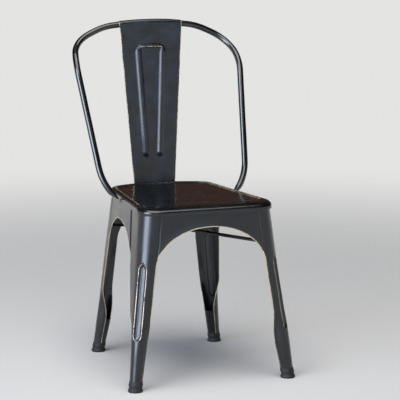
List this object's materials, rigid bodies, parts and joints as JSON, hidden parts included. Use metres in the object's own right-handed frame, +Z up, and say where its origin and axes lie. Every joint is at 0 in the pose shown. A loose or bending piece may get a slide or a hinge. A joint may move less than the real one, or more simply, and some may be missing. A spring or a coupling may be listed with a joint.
{
  "type": "metal bistro chair",
  "caption": "Stackable pressed-sheet metal bistro chair with splayed channel legs, arched aprons, a sunk seat panel, a bent tube back hoop and a tapered back splat.",
  "frame": {"origin": "on the floor, under the middle of the chair's bounding box", "axes": "+Z up; the seat faces -Y, so the back leans towards +Y; +X to the right as seen from the front"},
  "size_m": [0.4534, 0.4935, 0.8565],
  "materials": {
    "back_hoop": "satin black paint over steel, worn through to bare metal on the edges",
    "back_splat": "satin black paint over steel, worn through to bare metal on the edges",
    "brace_rivet": "satin black paint over steel, worn through to bare metal on the edges",
    "front_apron": "satin black paint over steel, worn through to bare metal on the edges",
    "front_left_foot": "matt black moulded rubber",
    "front_left_leg": "satin black paint over steel, worn through to bare metal on the edges",
    "front_left_leg_closing_strip": "satin black paint over steel, worn through to bare metal on the edges",
    "front_right_foot": "matt black moulded rubber",
    "front_right_leg": "satin black paint over steel, worn through to bare metal on the edges",
    "front_right_leg_closing_strip": "satin black paint over steel, worn through to bare metal on the edges",
    "left_apron": "satin black paint over steel, worn through to bare metal on the edges",
    "left_hoop_weld": "bare bead of weld, dressed smooth",
    "lower_brace_bar": "satin black paint over steel, worn through to bare metal on the edges",
    "rear_apron": "satin black paint over steel, worn through to bare metal on the edges",
    "rear_left_foot": "matt black moulded rubber",
    "rear_left_leg": "satin black paint over steel, worn through to bare metal on the edges",
    "rear_left_leg_closing_strip": "satin black paint over steel, worn through to bare metal on the edges",
    "rear_right_foot": "matt black moulded rubber",
    "rear_right_leg": "satin black paint over steel, worn through to bare metal on the edges",
    "rear_right_leg_closing_strip": "satin black paint over steel, worn through to bare metal on the edges",
    "right_apron": "satin black paint over steel, worn through to bare metal on the edges",
    "right_hoop_weld": "bare bead of weld, dressed smooth",
    "seat_pan": "satin black paint over steel, worn through to bare metal on the edges",
    "upper_brace_bar": "satin black paint over steel, worn through to bare metal on the edges"
  },
  "bodies": {
    "root": {"back_hoop": "back_hoop", "back_splat": "back_splat", "brace_rivet": "brace_rivet", "front_apron": "front_apron", "front_left_foot": "front_left_foot", "front_left_leg": "front_left_leg", "front_left_leg_closing_strip": "front_left_leg_closing_strip", "front_right_foot": "front_right_foot", "front_right_leg": "front_right_leg", "front_right_leg_closing_strip": "front_right_leg_closing_strip", "left_apron": "left_apron", "left_hoop_weld": "left_hoop_weld", "lower_brace_bar": "lower_brace_bar", "rear_apron": "rear_apron", "rear_left_foot": "rear_left_foot", "rear_left_leg": "rear_left_leg", "rear_left_leg_closing_strip": "rear_left_leg_closing_strip", "rear_right_foot": "rear_right_foot", "rear_right_leg": "rear_right_leg", "rear_right_leg_closing_strip": "rear_right_leg_closing_strip", "right_apron": "right_apron", "right_hoop_weld": "right_hoop_weld", "seat_pan": "seat_pan", "upper_brace_bar": "upper_brace_bar"}
  },
  "joints": []
}
